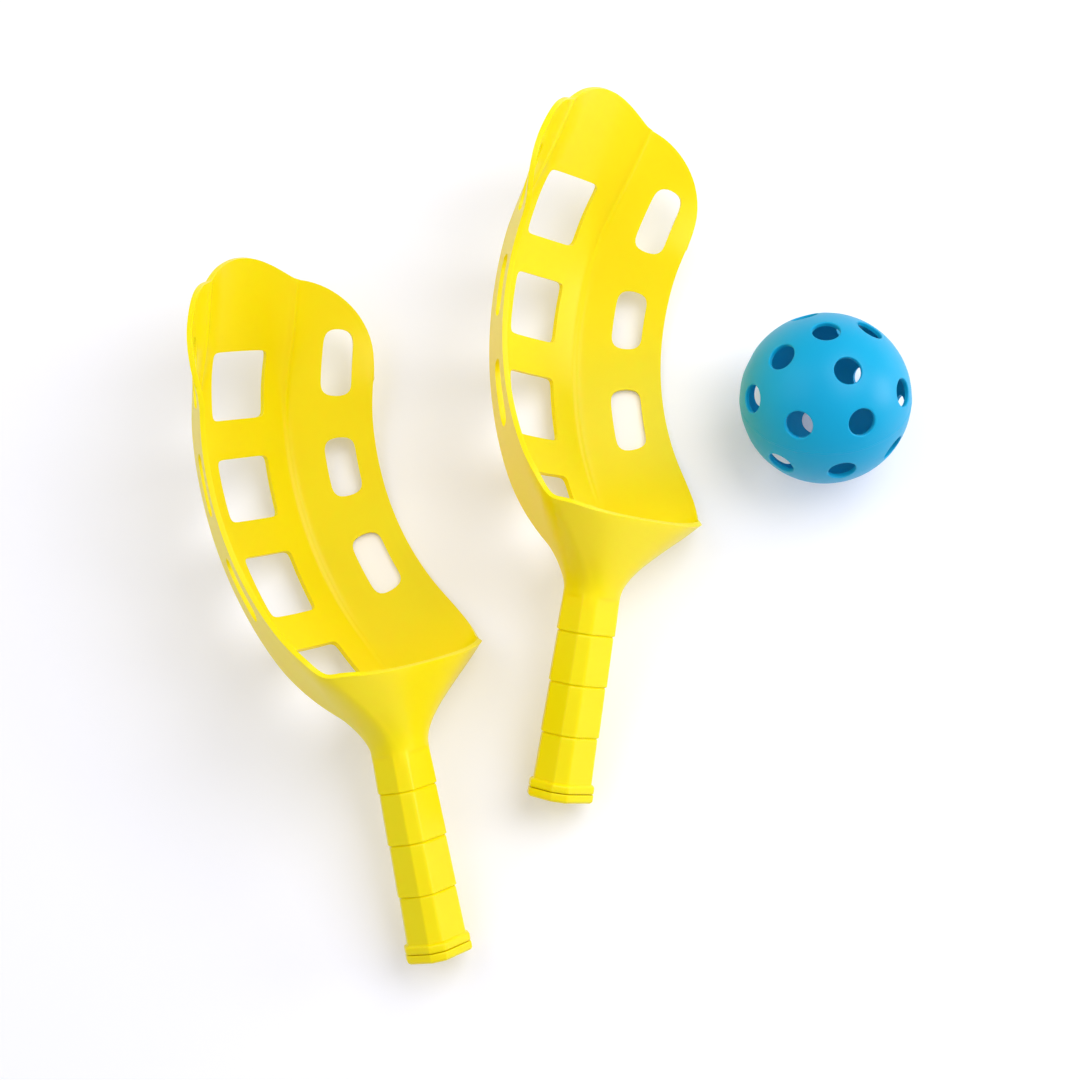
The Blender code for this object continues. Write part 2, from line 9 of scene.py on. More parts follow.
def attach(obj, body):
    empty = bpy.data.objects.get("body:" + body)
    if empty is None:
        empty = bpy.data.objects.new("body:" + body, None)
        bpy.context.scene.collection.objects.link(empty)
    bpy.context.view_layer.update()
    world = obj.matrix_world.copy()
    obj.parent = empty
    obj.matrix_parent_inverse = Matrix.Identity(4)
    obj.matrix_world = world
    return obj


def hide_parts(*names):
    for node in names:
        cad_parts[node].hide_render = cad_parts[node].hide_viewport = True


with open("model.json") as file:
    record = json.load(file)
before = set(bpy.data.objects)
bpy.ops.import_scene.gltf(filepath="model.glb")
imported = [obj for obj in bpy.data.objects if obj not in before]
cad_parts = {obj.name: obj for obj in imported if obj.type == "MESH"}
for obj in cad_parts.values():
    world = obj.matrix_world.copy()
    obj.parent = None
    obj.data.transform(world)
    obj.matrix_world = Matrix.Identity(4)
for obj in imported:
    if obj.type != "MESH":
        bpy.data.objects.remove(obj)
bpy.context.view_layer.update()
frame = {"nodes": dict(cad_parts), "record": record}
mm = 0.001  # shapes are worked out in millimetres and stored in metres
tiny = 1e-6  # lengths below this count as none


def toLinear(part):
    return part / 12.92 if part <= 0.04045 else ((part + 0.055) / 1.055) ** 2.4


def srgb(code):  # hex colour to linear
    return [toLinear(int(code[i:i + 2], 16) / 255) for i in (1, 3, 5)] + [1.0]


def perMetre(size):  # texture scale for a pattern of this many millimetres
    return 1 / (size * mm)


def addNode(tree, kind, settings=None, links=None):
    node = tree.nodes.new(kind)
    for name, value in (settings or {}).items():
        if isinstance(name, int) or name in node.inputs:
            node.inputs[name].default_value = value
        else:
            setattr(node, name, value)
    for name, source in (links or {}).items():
        tree.links.new(source, node.inputs[name])
    return node


def smoothStep(x):
    x = min(1.0, max(0.0, x))
    return x * x * (3 - 2 * x)


def through(x, points):  # straight lines through (x, y) points
    for (x0, y0), (x1, y1) in zip(points, points[1:]):
        if x <= x1:
            return y0 + (y1 - y0) * (x - x0) / (x1 - x0)
    return points[-1][1]


def selectOnly(obj):
    bpy.ops.object.select_all(action="DESELECT")
    obj.select_set(True)
    bpy.context.view_layer.objects.active = obj


def applyModifier(obj, kind, **settings):
    selectOnly(obj)
    modifier = obj.modifiers.new(kind.lower(), kind)
    for name, value in settings.items():
        setattr(modifier, name, value)
    bpy.ops.object.modifier_apply(modifier=modifier.name)


def smoothByAngle(obj, degrees):
    selectOnly(obj)
    bpy.ops.object.shade_smooth_by_angle(angle=math.radians(degrees))


def setInto(obj, matrix):  # puts the place into the mesh and leaves the object at the origin
    obj.data.transform(matrix)
    obj.data.update()


def finishPiece(obj, material, slot, *nodes):
    obj.data.materials.clear()
    obj.data.materials.append(material)
    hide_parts(*nodes)
    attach(obj, "root")


# injection moulded high density polyethylene: glossy, waxy, a little see-through at the edges
yellowPlastic = {
    "colour": "#fbe700", "deepColour": "#f8dd00", "cloudSize": 60, "roughness": (0.25, 0.36),
    "grainSize": 0.8, "grainHeight": 0.003, "ior": 1.54, "specular": 0.22,
    "scatter": 0.45, "scatterReach": (1.0, 0.55, 0.05), "scatterDepth": 4.0,
}

# polyethylene moulded in two shells and welded: satin, with faint scuffs
bluePlastic = {
    "colour": "#00acdc", "deepColour": "#00a2d4", "cloudSize": 26, "roughness": (0.31, 0.43),
    "grainSize": 0.7, "grainHeight": 0.004, "ior": 1.54, "specular": 0.22,
    "scatter": 0.1, "scatterReach": (0.1, 0.6, 1.0), "scatterDepth": 1.5,
}


def makePlastic(name, v):
    material = bpy.data.materials.new(name)
    material.use_nodes = True
    tree = material.node_tree
    shader = tree.nodes["Principled BSDF"]
    place = addNode(tree, "ShaderNodeTexCoord").outputs["Object"]
    cloud = addNode(tree, "ShaderNodeTexNoise", {"Scale": perMetre(v["cloudSize"]), "Detail": 2},
                    {"Vector": place})
    tone = addNode(tree, "ShaderNodeMix", {"data_type": "RGBA", 6: srgb(v["deepColour"]),
                                           7: srgb(v["colour"])}, {0: cloud.outputs["Fac"]})
    grain = addNode(tree, "ShaderNodeTexNoise", {"Scale": perMetre(v["grainSize"]), "Detail": 3},
                    {"Vector": place})
    rough = addNode(tree, "ShaderNodeMapRange", {"To Min": v["roughness"][0],
                                                 "To Max": v["roughness"][1]},
                    {"Value": cloud.outputs["Fac"]})
    bump = addNode(tree, "ShaderNodeBump", {"Distance": v["grainHeight"] * mm, "Strength": 1.0},
                   {"Height": grain.outputs["Fac"]})
    tree.links.new(tone.outputs[2], shader.inputs["Base Color"])
    tree.links.new(rough.outputs["Result"], shader.inputs["Roughness"])
    tree.links.new(bump.outputs["Normal"], shader.inputs["Normal"])
    shader.inputs["IOR"].default_value = v["ior"]
    shader.inputs["Specular IOR Level"].default_value = v["specular"]
    shader.inputs["Subsurface Weight"].default_value = v["scatter"]
    shader.inputs["Subsurface Radius"].default_value = v["scatterReach"]
    shader.inputs["Subsurface Scale"].default_value = v["scatterDepth"] * mm
    return material


# the scoop, worked out upright: X across, Y the way the basket opens, Z along the grip
scoop = {
    "wall": 2.2, "beadHeight": 0.7, "beadHalf": 1.5, "beadRun": 100.0, "beadMouthShare": 0.6,
    "mouthY": -11.5, "mouthZ": 105.2, "mouthLean": -46.7, "spineRadius": 144.3,
    "tipLean": 20.8, "spineLength": 199.8,
    "backHalfMouth": 26.9, "backHalfTop": 27.9, "backDish": 2.6,
    "mouthNarrowing": 6.5, "mouthNarrowingLength": 35,
    "rimHalf": 52.2, "rimHeight": 31.6, "rimFlare": 2.4, "rimLift": 1.4, "flareLength": 105,
    "tipFlare": 8.0, "tipReach": 1.3, "tipFlareStart": 152, "tipFlareLength": 40,
    "tipCorner": 24.0, "tipCornerStart": 135, "tipCornerLength": 55,
    "mouthCorner": 10.5, "mouthCornerFade": 30, "cornerDrop": 1.6, "lipNearCorner": 0.99,
    "neckZ": 87.0, "neckHalfWidth": 10.4, "neckHalfDepth": 7.9, "neckRoundness": 2.6,
    "neckBackSweep": 118.0, "neckPull": 0.8, "mouthPullBack": 0.6, "mouthPullRim": 0.3,
    "lipY": 22.4, "lipZ": 122.0, "lipRoundness": 3.3, "lipSpread": 0.9, "lipLean": 0.35,
    "lipTurn": 0.4,
    "notchRise": 4.0, "centreLobe": 12.9, "sideLobeDrop": 38.0, "sideLobeMargin": 7.0,
    "backWindows": ((11.5, 38.5), (55.4, 84.1), (100.0, 127.1), (143.7, 172.9)),
    "backWindowHalf": (12.7, 17.2), "backWindowCorner": 2.2,
    "sideWindows": ((9.0, 34.0), (47.4, 80.0), (101.0, 131.0), (152.0, 183.4)),
    "sideWindowSteps": (15.6, 28.9), "sideWindowCorner": 4.4,
    "backColumns": (3, 4, 8, 10),
    "wallSteps": (0.75, 1.5, 4.5, 8.0, 12.0, 15.6, 20.0, 24.5, 28.9), "wallWindowColumns": (6, 9),
    "rimShares": (0.39, 0.71, 0.9, 1.0),
    "frontSteps": 18, "funnelRows": 12, "floorRows": (0.0, 0.5, 0.86),
    "rowsStart": 4, "rowsWindow": 6, "rowsBetween": 5, "rowsTip": 9, "mergeDistance": 0.03,
    "edgeRound": 0.38, "edgeAngle": 52, "creaseAngle": 40,
    "foldColumns": 5, "foldStart": 4, "foldSmooth": 8, "cornerReaches": (9.0, 7.0, 5.5, 4.0, 3.0),
}
diagonalCut = 0.293  # a rounded corner passes its two edges at this share of its radius


def spineAt(run):
    s = scoop
    mouthLean = math.radians(s["mouthLean"])
    arc = (math.radians(s["tipLean"]) - mouthLean) * s["spineRadius"]
    lean = mouthLean + min(run, arc) / s["spineRadius"]
    y = s["mouthY"] + s["spineRadius"] * (math.cos(mouthLean) - math.cos(lean))
    z = s["mouthZ"] + s["spineRadius"] * (math.sin(lean) - math.sin(mouthLean))
    straight = max(run - arc, 0.0)
    return y + straight * math.sin(lean), z + straight * math.cos(lean), lean


def sectionPoint(run, across, out):
    y, z, lean = spineAt(run)
    return Vector((across, y + out * math.cos(lean), z - out * math.sin(lean)))


def backHalf(run):
    s = scoop
    narrow = s["mouthNarrowing"] * max(0.0, 1 - run / s["mouthNarrowingLength"]) ** 2
    widening = (s["backHalfTop"] - s["backHalfMouth"]) * run / s["spineLength"]
    return s["backHalfMouth"] - narrow + widening


def rimCorner(run):
    s = scoop
    flare = max(0.0, 1 - run / s["flareLength"]) ** 2
    across = s["rimHalf"] - s["backHalfTop"]
    out = s["rimHeight"] - s["backDish"]
    width = math.hypot(across, out)
    tip = s["tipFlare"] * smoothStep((run - s["tipFlareStart"]) / s["tipFlareLength"]) / width
    reach = s["tipReach"] * smoothStep((run - s["tipCornerStart"]) / s["tipCornerLength"]) / width
    half = s["rimHalf"] + s["rimFlare"] * flare + tip * out + reach * across
    return half, s["rimHeight"] + s["rimLift"] * flare - tip * across + reach * out


def wallLength(run):
    rim, height = rimCorner(run)
    return math.hypot(rim - backHalf(run), height - scoop["backDish"])


def backWindowHalf(run):
    low, high = scoop["backWindowHalf"]
    return low + (high - low) * run / scoop["spineLength"]


def columnList():
    # lengthwise lines: they count from the middle of the back panel, and out from a corner on walls
    walls = range(1, len(scoop["wallSteps"]) + len(scoop["rimShares"]) + 1)
    half = scoop["backColumns"][-1]
    columns = [("wall", -1, k) for k in reversed(walls)]
    columns += [("back", 0, k) for k in range(-half, half + 1)]
    return columns + [("wall", 1, k) for k in walls]


def columnStep(column, run, nudge=0.0):
    # how far a line is from the middle of the back, or from the corner up its wall
    kind, _, k = column
    s = scoop
    if kind == "back":
        half = backHalf(run)
        window = backWindowHalf(run)
        corner, edge, bead, last = s["backColumns"]
        step = through(abs(k), ((0, 0), (corner, window - s["backWindowCorner"]), (edge, window),
                                (bead, half - s["beadHalf"]), (last, half)))
        return math.copysign(step - nudge, k)
    if k <= len(s["wallSteps"]):
        return s["wallSteps"][k - 1] + nudge
    share = s["rimShares"][k - 1 - len(s["wallSteps"])]
    last = s["wallSteps"][-1]
    return last + (wallLength(run) - last) * share


def tipRound(run, side, away):
    # rounds the inner corners near the tip: shift across and out, at a distance from the corner
    s = scoop
    size = s["tipCorner"] * smoothStep((run - s["tipCornerStart"]) / s["tipCornerLength"])
    if size <= away:
        return 0.0, 0.0
    rim, height = rimCorner(run)
    across = rim - backHalf(run)
    out = height - s["backDish"]
    width = math.hypot(across, out)
    shift = 0.25 * size * (1 - away / size) ** 2
    return side * (across / width - 1) * shift, out / width * shift


def flatWallPoint(run, side, share):
    s = scoop
    rim, height = rimCorner(run)
    half = backHalf(run)
    across, out = tipRound(run, side, share * wallLength(run))
    return sectionPoint(run, side * (half + share * (rim - half)) + across,
                        s["backDish"] + share * (height - s["backDish"]) + out)


def flatLipPoint(share):
    s = scoop
    corner = flatWallPoint(-s["cornerDrop"], 1, 1.0)
    rise = 1 - abs(share) ** s["lipRoundness"]
    return Vector((corner.x * share, corner.y + (s["lipY"] - corner.y) * rise,
                   corner.z + (s["lipZ"] - corner.z) * rise))


def mouthCornerTurn(side):
    # how far the direction turns from the wall to the front lip
    s = scoop
    corner = flatWallPoint(-s["cornerDrop"], side, 1.0)
    wall = (corner - flatWallPoint(-s["cornerDrop"], side, 0.0)).normalized()
    lip = (flatLipPoint(s["lipNearCorner"] * side) - corner).normalized()
    return lip - wall


cornerTurns = {side: mouthCornerTurn(side) for side in (-1, 1)}


def cornerShift(side, away):
    size = scoop["mouthCorner"]
    return cornerTurns[side] * 0.25 * size * max(0.0, 1 - away / size) ** 2


def columnPoint(column, run, nudge=0.0):
    s = scoop
    step = columnStep(column, run, nudge)
    if column[0] == "back":
        half = backHalf(run)
        share = step / half
        across, out = tipRound(run, 1 if step > 0 else -1, half - abs(step))
        return sectionPoint(run, step + across, s["backDish"] * share * share + out)
    side = column[1]
    share = step / wallLength(run)
    point = flatWallPoint(run, side, share)
    above = max(0.0, run + s["cornerDrop"] * share * share)
    fade = max(0.0, 1 - above / s["mouthCornerFade"]) ** 2
    return point + cornerShift(side, wallLength(run) - step) * fade


def columnShare(column, run):
    length = backHalf(run) if column[0] == "back" else wallLength(run)
    return abs(columnStep(column, run)) / length


def columnEnd(column):
    s = scoop
    notch = s["spineLength"] + s["notchRise"]
    end = notch
    for _ in range(3):  # the share depends a little on where the line ends
        share = min(1.0, columnShare(column, end))
        if column[0] == "back":
            end = notch + (s["centreLobe"] - s["notchRise"]) * math.cos(0.5 * math.pi * share)
        else:
            end = notch - s["sideLobeDrop"] * (1 - math.sqrt(1 - share * share))
    return end


def columnStart(column):
    if column[0] == "back":
        return 0.0
    return -scoop["cornerDrop"] * columnShare(column, 0.0) ** 2


def columnMix(column):
    # 0 where rows follow the back windows, 1 where they follow the side windows
    run = 0.5 * scoop["spineLength"]
    half = backHalf(run)
    window = backWindowHalf(run)
    inner = scoop["sideWindowSteps"][0]
    step = columnStep(column, run)
    reach = abs(step) - window if column[0] == "back" else half - window + step
    return min(1.0, max(0.0, reach / (half - window + inner)))


def rowKnots(windows, corner):
    knots = []
    for low, high in windows:
        knots += [low, low + corner, high - corner, high]
    return knots


def rowPlaces():
    # each row as the knot before it and its share of the way to the next knot
    s = scoop
    counts = [s["rowsStart"]] + [1, s["rowsWindow"], 1, s["rowsBetween"]] * 3
    counts += [1, s["rowsWindow"], 1, s["rowsTip"]]
    places = [(k, i / count) for k, count in enumerate(counts) for i in range(count)]
    return places + [(len(counts) - 1, 1.0)]


def columnRuns(column, places):
    s = scoop
    start = columnStart(column)
    end = columnEnd(column)
    mix = columnMix(column)
    back = rowKnots(s["backWindows"], s["backWindowCorner"])
    wall = rowKnots(s["sideWindows"], s["sideWindowCorner"])
    knots = [b + mix * (w - b) for b, w in zip(back, wall)]
    limit = end - s["sideLobeMargin"]  # the side lobes end lower near their rims
    if knots[-1] > limit:
        low = s["sideWindows"][2][1]
        reach = knots[-1] - low
        knots = [low + (knot - low) * (limit - low) / reach if knot > low else knot
                 for knot in knots]
    knots = [start] + knots + [end]
    return [knots[k] + share * (knots[k + 1] - knots[k]) for k, share in places]


def neckPoint(angle, grow=0.0):
    s = scoop
    reach = 2 / s["neckRoundness"]
    across = math.copysign(abs(math.sin(angle)) ** reach, math.sin(angle))
    out = -math.copysign(abs(math.cos(angle)) ** reach, math.cos(angle))
    return Vector(((s["neckHalfWidth"] + grow) * across, (s["neckHalfDepth"] + grow) * out,
                   s["neckZ"]))


def lipPoint(share):
    side = 1 if share > 0 else -1
    point = flatLipPoint(share)
    return point + cornerShift(side, (point - flatLipPoint(side)).length)


def funnelLines(columns):
    # for each line: angle round the neck, point at the mouth, direction there and how hard it pulls
    s = scoop
    mouths = [columnPoint(column, columnStart(column)) for column in columns]
    widths = [0.0]
    for a, b in zip(mouths, mouths[1:]):
        widths.append(widths[-1] + (b - a).length)
    sweep = math.radians(s["neckBackSweep"])
    lines = []
    for width, mouth, column in zip(widths, mouths, columns):
        onward = (columnPoint(column, columnStart(column) + 1.0) - mouth).normalized()
        rim = 0.0 if column[0] == "back" else columnShare(column, 0.0)
        pull = s["mouthPullBack"] + (s["mouthPullRim"] - s["mouthPullBack"]) * rim
        lines.append((sweep * (2 * width / widths[-1] - 1), mouth, onward, pull))
    first, last = lines[0][2], lines[-1][2]
    for i in range(1, s["frontSteps"]):
        turn = 1 - 2 * i / s["frontSteps"]
        share = math.sin(0.5 * math.pi * turn)
        onward = Vector((s["lipSpread"] * share, s["lipLean"], 1.0)).normalized()
        mix = smoothStep((1 - abs(turn)) / s["lipTurn"])
        corner = last if turn > 0 else first
        lines.append((math.pi - (math.pi - sweep) * turn, lipPoint(share),
                      corner.lerp(onward, mix).normalized(), s["mouthPullRim"]))
    return lines + [lines[0]]


def funnelPoint(line, t):
    # a cubic curve from the neck, straight up there, to the mouth, in line with the trough there
    angle, mouth, onward, pull = line
    neck = neckPoint(angle)
    chord = (mouth - neck).length
    rise = Vector((0.0, 0.0, scoop["neckPull"] * chord))
    return (neck * (2 * t ** 3 - 3 * t ** 2 + 1) + rise * (t ** 3 - 2 * t ** 2 + t)
            + mouth * (3 * t ** 2 - 2 * t ** 3) + onward * pull * chord * (t ** 3 - t ** 2))


def windowNudge(column, place):
    # rounds the corners of the windows: how far a corner vertex moves in, across and along
    knot, share = place
    window, turn = divmod(knot - 1, 4)
    if share > 0.0 or turn not in (0, 3) or not 0 <= window <= 3:
        return 0.0, 0.0
    kind, _, k = column
    along = 1 if turn == 0 else -1
    if kind == "back" and abs(k) == scoop["backColumns"][1]:
        cut = diagonalCut * scoop["backWindowCorner"]
        return cut, along * cut
    if kind == "wall" and window > 0 and k in scoop["wallWindowColumns"]:
        cut = diagonalCut * scoop["sideWindowCorner"]
        return (cut if k == scoop["wallWindowColumns"][0] else -cut), along * cut
    return 0.0, 0.0


def openCell(column, window):
    # whether the cell after this line lies in this window
    kind, side, k = column
    if kind == "back":
        edge = scoop["backColumns"][1]
        return -edge <= k < edge
    low, high = scoop["wallWindowColumns"]
    return window > 0 and (low <= k < high if side > 0 else low < k <= high)


def cutOpenings(mesh, columns, places, mouthRow):
    # takes out the cells above the front lip and in the windows
    bm = bmesh.from_edit_mesh(mesh)
    columnLayer = bm.verts.layers.int["column"]
    rowLayer = bm.verts.layers.int["row"]
    windowRows = {}
    for j, (knot, _) in enumerate(places):
        windowRows.setdefault(knot, j)
    for face in bm.faces:
        i = min(v[columnLayer] for v in face.verts)
        j = min(v[rowLayer] for v in face.verts) - mouthRow
        if j < 0:
            continue
        if i >= len(columns) - 1:
            face.select_set(True)
            continue
        for window in range(4):
            inRows = windowRows[1 + 4 * window] <= j < windowRows[4 + 4 * window]
            if inRows and openCell(columns[i], window):
                face.select_set(True)
    bmesh.update_edit_mesh(mesh)
    bpy.ops.mesh.delete(type="FACE")


def smoothMouth(mesh, columns, across, floor, mouthRow):
    # the two folds of the funnel below the mouth's corners, then the corners themselves
    s = scoop
    bpy.ops.mesh.select_all(action="DESELECT")
    bm = bmesh.from_edit_mesh(mesh)
    columnLayer = bm.verts.layers.int["column"]
    rowLayer = bm.verts.layers.int["row"]
    last = len(columns) - 1
    for v in bm.verts:
        column = v[columnLayer]
        fromFold = min(abs(column - last), column, abs(across - column))
        if fromFold <= s["foldColumns"] and floor + s["foldStart"] < v[rowLayer] < mouthRow:
            v.select_set(True)
    bmesh.update_edit_mesh(mesh)
    bpy.ops.mesh.vertices_smooth(factor=0.5, repeat=s["foldSmooth"])
    corners = [columnPoint(columns[i], columnStart(columns[i])) * mm for i in (0, last)]
    for reach in s["cornerReaches"]:
        bpy.ops.mesh.select_all(action="DESELECT")
        bm = bmesh.from_edit_mesh(mesh)
        for v in bm.verts:
            if min((v.co - corner).length for corner in corners) < reach * mm:
                v.select_set(True)
        bmesh.update_edit_mesh(mesh)
        bpy.ops.mesh.vertices_smooth(factor=0.5)


def basketSheet():
    # a flat grid, bent into floor, funnel and trough: the inside face of the basket
    s = scoop
    columns = columnList()
    places = rowPlaces()
    lines = funnelLines(columns)
    runs = [columnRuns(column, places) for column in columns]
    floor = len(s["floorRows"])
    mouthRow = floor + s["funnelRows"]
    across = len(lines) - 1
    along = mouthRow + len(places) - 1
    bpy.ops.object.select_all(action="DESELECT")
    bpy.ops.mesh.primitive_grid_add(x_subdivisions=across, y_subdivisions=along, size=2)
    obj = bpy.context.object
    obj.name = "scoopPattern"
    mesh = obj.data
    column = mesh.attributes.new("column", "INT", "POINT")
    row = mesh.attributes.new("row", "INT", "POINT")
    if len(mesh.vertices) != (across + 1) * (along + 1):
        raise ValueError("the grid has another number of vertices than it needs")
    for vertex in mesh.vertices:
        i = round((vertex.co.x + 1) / 2 * across)
        j = round((vertex.co.y + 1) / 2 * along)
        column.data[vertex.index].value = i
        row.data[vertex.index].value = j
        if j < floor:
            point = neckPoint(lines[i][0]) * s["floorRows"][j]
            point.z = s["neckZ"]
        elif j <= mouthRow or i >= len(columns):
            point = funnelPoint(lines[i], min(1.0, (j - floor) / s["funnelRows"]))
        else:
            nudge, shift = windowNudge(columns[i], places[j - mouthRow])
            point = columnPoint(columns[i], runs[i][j - mouthRow] + shift, nudge)
        vertex.co = point * mm
    mesh.update()
    bpy.ops.object.mode_set(mode="EDIT")
    bpy.ops.mesh.select_all(action="DESELECT")
    cutOpenings(mesh, columns, places, mouthRow)
    bpy.ops.mesh.select_all(action="SELECT")
    bpy.ops.mesh.remove_doubles(threshold=s["mergeDistance"] * mm)
    smoothMouth(mesh, columns, across, floor, mouthRow)
    bpy.ops.object.mode_set(mode="OBJECT")
    return obj, columns, lines, floor, mouthRow


grip = {
    "halfWidth": 12.1, "halfDepth": 9.6, "chamfer": 4.1, "top": 91.0, "taper": 0.45,
    "grooves": (70.5, 48.9, 27.3), "grooveDepth": 0.5, "grooveHalf": 0.6,
    "collarProud": 1.3, "collarTop": 7.6, "collarBottom": 4.0,
    "bore": -2.6, "boreTop": 80.8,
    "facetStart": 85.4, "facetEnd": 87.0, "archStart": 79.0, "archEnd": 85.0,
    "neckRings": (86.6, 85.7, 84.8, 83.8, 82.6, 81.0, 79.3, 77.2, 74.5),
    "segmentRings": (15, 9, 4), "lastRings": (22.5, 17.5, 12.5, 9.4), "boreRings": (26.0, 54.0),
    "grooveReach": 1.3, "grooveInner": 0.3, "startRise": 0.6,
}
parallel = 1e-9  # directions whose cross product is smaller never meet


def octagonCorners(grow):
    g = grip
    x = g["halfWidth"] + grow
    y = g["halfDepth"] + grow
    cut = g["chamfer"] + 0.5 * grow
    return [(x, y - cut), (x - cut, y), (cut - x, y), (-x, y - cut),
            (-x, cut - y), (cut - x, -y), (x - cut, -y), (x, cut - y)]


def octagonPoint(direction, grow):
    # where a ray from the middle leaves the octagon
    corners = octagonCorners(grow)
    for a, b in zip(corners, corners[1:] + corners[:1]):
        edge = (b[0] - a[0], b[1] - a[1])
        cross = direction[0] * edge[1] - direction[1] * edge[0]
        if abs(cross) < parallel:
            continue
        reach = (a[0] * edge[1] - a[1] * edge[0]) / cross
        along = (a[0] * direction[1] - a[1] * direction[0]) / cross
        if reach > 0 and -tiny <= along <= 1 + tiny:
            return (direction[0] * reach, direction[1] * reach)
    return corners[0]


def chamferShare(direction):
    # 1 in the middle of a narrow facet, 0 from its edges on
    corners = octagonCorners(0.0)
    low = math.atan2(corners[0][1], corners[0][0])
    high = math.atan2(corners[1][1], corners[1][0])
    angle = math.atan2(abs(direction[1]), abs(direction[0]))
    return max(0.0, 1 - abs(2 * angle - low - high) / (high - low)) ** 0.5


def cornerColumns(directions):
    # the line nearest to each corner of the octagon runs along that corner
    nearest = {}
    for n, corner in enumerate(octagonCorners(0.0)):
        angle = math.atan2(corner[1], corner[0])
        best = min(directions, key=lambda i: abs(math.remainder(
            math.atan2(directions[i][1], directions[i][0]) - angle, 2 * math.pi)))
        nearest[best] = n
    return nearest


def segmentGrow(z):
    # each segment of the grip tapers a little towards the basket
    g = grip
    low = g["collarTop"]
    for groove in reversed(g["grooves"]):
        if z < groove:
            return -g["taper"] * (z - low) / (groove - low)
        low = groove
    return -g["taper"] * min(1.0, (z - low) / (g["top"] - low))


def gripRings():
    # outside rings from the neck down to the collar, then up the bore: height and growth
    g = grip
    rings = [(z, segmentGrow(z)) for z in g["neckRings"]]
    half, inner, reach = g["grooveHalf"], g["grooveInner"], g["grooveReach"]
    deep = -g["taper"] - g["grooveDepth"]
    for groove in g["grooves"]:
        if groove != g["grooves"][0]:
            rings += [(groove + z, segmentGrow(groove + z)) for z in g["segmentRings"]]
        rings += [(groove + reach, segmentGrow(groove + reach)), (groove + half, 0.0),
                  (groove + inner, 0.55 * deep), (groove, deep),
                  (groove - inner, 0.45 * deep - 0.25), (groove - half, -g["taper"]),
                  (groove - reach, segmentGrow(groove - reach))]
    rings += [(z, segmentGrow(z)) for z in g["lastRings"]]
    top, bottom, proud, bore = g["collarTop"], g["collarBottom"], g["collarProud"], g["bore"]
    rings += [(top + 0.3, 0.0), (top - 0.05, 0.45 * proud), (top - 0.5, proud - 0.1),
              (top - 1.0, proud), (bottom + 0.9, proud), (bottom + 0.35, proud - 0.05),
              (bottom, proud - 0.35), (bottom, proud - 1.2), (bottom, bore + 0.6),
              (bottom + 0.3, bore), (bottom + 1.2, bore)]
    rings += [(z, bore) for z in g["boreRings"]]
    rings += [(g["boreTop"] - 0.8, bore), (g["boreTop"], bore - 0.8)]
    return rings


def pointKey(vertex):
    return tuple(round(c, 7) for c in vertex.co)


def raiseBeads(bm, columns, mouthRow, inside):
    # a low bead runs up both inner corners
    s = scoop
    columnLayer = bm.verts.layers.int["column"]
    rowLayer = bm.verts.layers.int["row"]
    bm.normal_update()
    for v in inside:
        if v[rowLayer] < mouthRow or v[columnLayer] >= len(columns):
            continue
        column = columns[v[columnLayer]]
        step = columnStep(column, s["beadRun"])
        away = backHalf(s["beadRun"]) - abs(step) if column[0] == "back" else step
        if away < s["beadHalf"]:
            lift = s["beadHeight"] * math.cos(0.5 * math.pi * away / s["beadHalf"])
            if v[rowLayer] == mouthRow:
                lift *= s["beadMouthShare"]
            v.co += v.normal * lift * mm


def drawGrip(mesh, lines):
    # the grip is drawn down from the open loop, ring by ring
    s = scoop
    g = grip
    bm = bmesh.from_edit_mesh(mesh)
    columnLayer = bm.verts.layers.int["column"]
    bpy.ops.mesh.select_mode(type="EDGE")
    for edge in bm.edges:
        edge.select_set(edge.is_boundary)
    bmesh.update_edit_mesh(mesh)
    directions = {}
    for v in bm.verts:
        if v.select:
            directions[v[columnLayer]] = (v.co.x / mm, v.co.y / mm)
            # the wall's own offset is too small at the turn into the floor
            neck = neckPoint(lines[v[columnLayer]][0], s["wall"])
            v.co = Vector((neck.x, neck.y, s["neckZ"] + g["startRise"])) * mm
    corners = cornerColumns(directions)
    print("grip lines:", len(directions))
    for z, grow in gripRings():
        bpy.ops.mesh.extrude_region_move(TRANSFORM_OT_translate={"value": (0, 0, -0.0001)})
        bm = bmesh.from_edit_mesh(mesh)
        columnLayer = bm.verts.layers.int["column"]
        flat = smoothStep((z - g["facetStart"]) / (g["facetEnd"] - g["facetStart"]))
        arch = smoothStep((z - g["archStart"]) / (g["archEnd"] - g["archStart"]))
        for v in bm.verts:
            if not v.select:
                continue
            i = v[columnLayer]
            if i in corners:
                x, y = octagonCorners(grow)[corners[i]]
            else:
                x, y = octagonPoint(directions[i], grow)
            rounded = max(flat, arch * chamferShare(directions[i]))
            if rounded > 0.0:
                neck = neckPoint(lines[i][0], s["wall"])
                x += rounded * (neck.x - x)
                y += rounded * (neck.y - y)
            v.co = Vector((x, y, z)) * mm
        bmesh.update_edit_mesh(mesh)
    bpy.ops.mesh.edge_face_add()
    bpy.ops.mesh.select_mode(type="VERT")


